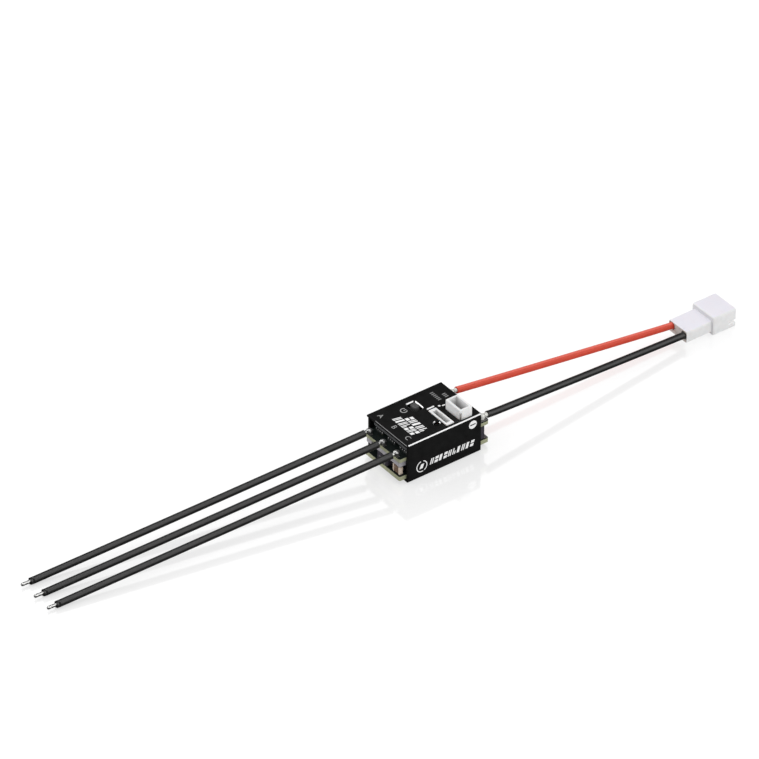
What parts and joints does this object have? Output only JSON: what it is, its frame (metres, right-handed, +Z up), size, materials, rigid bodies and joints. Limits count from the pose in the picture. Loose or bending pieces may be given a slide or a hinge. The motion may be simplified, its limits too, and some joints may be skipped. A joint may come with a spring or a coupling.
{
  "type": "electronic speed controller",
  "caption": "Brushless motor controller: stacked circuit boards under an open-ended aluminium cover, with bare-ended motor leads, battery leads to a plug, a button and signal sockets.",
  "frame": {"origin": "under the middle of the circuit boards, on the surface that the controller stands on", "axes": "+X from the motor leads towards the battery plug, +Y towards the positive battery lead's side, +Z up"},
  "size_m": [0.2028, 0.0227, 0.0141],
  "materials": {
    "cover": "matt black anodised aluminium sheet with bare bright cut edges",
    "board": "black solder mask on glass epoxy, olive-tan cut edges",
    "thermal_pad": "soft silicone cooling pad",
    "chip_black": "moulded black epoxy",
    "inductor_alloy": "moulded grey metal powder",
    "ceramic_tan": "tan ceramic with tinned ends",
    "ceramic_grey": "grey ceramic with tinned ends",
    "resonator_can": "drawn metal can",
    "shunt_metal": "dull resistance alloy",
    "led_lens": "pale lens on a white body",
    "switch_black": "moulded black",
    "button_grey": "moulded dark grey",
    "socket_white": "moulded off-white nylon",
    "plug_white": "moulded white nylon",
    "contact_tin": "bright tin or nickel plating",
    "solder": "bright tin solder",
    "black_silicone": "soft matt silicone sleeve",
    "red_silicone": "soft matt silicone sleeve"
  },
  "bodies": {
    "controller": {"battery_lead_negative": "black_silicone", "battery_lead_positive": "red_silicone", "battery_plug_housing": "plug_white", "battery_plug_pin_1": "solder", "battery_plug_pin_2": "solder", "bec_inductor": "inductor_alloy", "bec_regulator": "chip_black", "ceramic_capacitor_1": "ceramic_tan", "ceramic_capacitor_2": "ceramic_grey", "ceramic_capacitor_3": "ceramic_grey", "ceramic_capacitor_4": "ceramic_grey", "cover_shell": "cover", "gate_driver": "chip_black", "interboard_pin_1": "solder", "interboard_pin_2": "solder", "interboard_pin_3": "solder", "interboard_pin_4": "solder", "lead_tip_a": "solder", "lead_tip_b": "solder", "lead_tip_c": "solder", "lower_board": "board", "microcontroller": "chip_black", "mosfet_1": "chip_black", "mosfet_2": "chip_black", "mosfet_3": "chip_black", "mosfet_4": "chip_black", "mosfet_5": "chip_black", "mosfet_6": "chip_black", "motor_lead_a": "black_silicone", "motor_lead_b": "black_silicone", "motor_lead_c": "black_silicone", "polymer_capacitor_1": "chip_black", "polymer_capacitor_2": "chip_black", "power_switch_body": "switch_black", "program_contact_1": "contact_tin", "program_contact_2": "contact_tin", "program_contact_3": "contact_tin", "program_contact_4": "contact_tin", "program_contact_5": "contact_tin", "program_contact_6": "contact_tin", "program_socket": "socket_white", "resonator": "resonator_can", "shunt_resistor": "shunt_metal", "solder_joint_a": "solder", "solder_joint_b": "solder", "solder_joint_c": "solder", "solder_joint_negative": "solder", "solder_joint_positive": "solder", "status_led": "led_lens", "thermal_pad": "thermal_pad", "throttle_pin_1": "contact_tin", "throttle_pin_2": "contact_tin", "throttle_pin_3": "contact_tin", "throttle_socket": "socket_white", "upper_board": "board"},
    "power_button": {"power_button": "button_grey"}
  },
  "joints": [
    {"name": "power_button_press", "type": "slide", "parent": "controller", "child": "power_button", "axis": [0, 0, -1], "range_m": [0, 0.00025], "stiffness_N_per_m": 800}
  ]
}
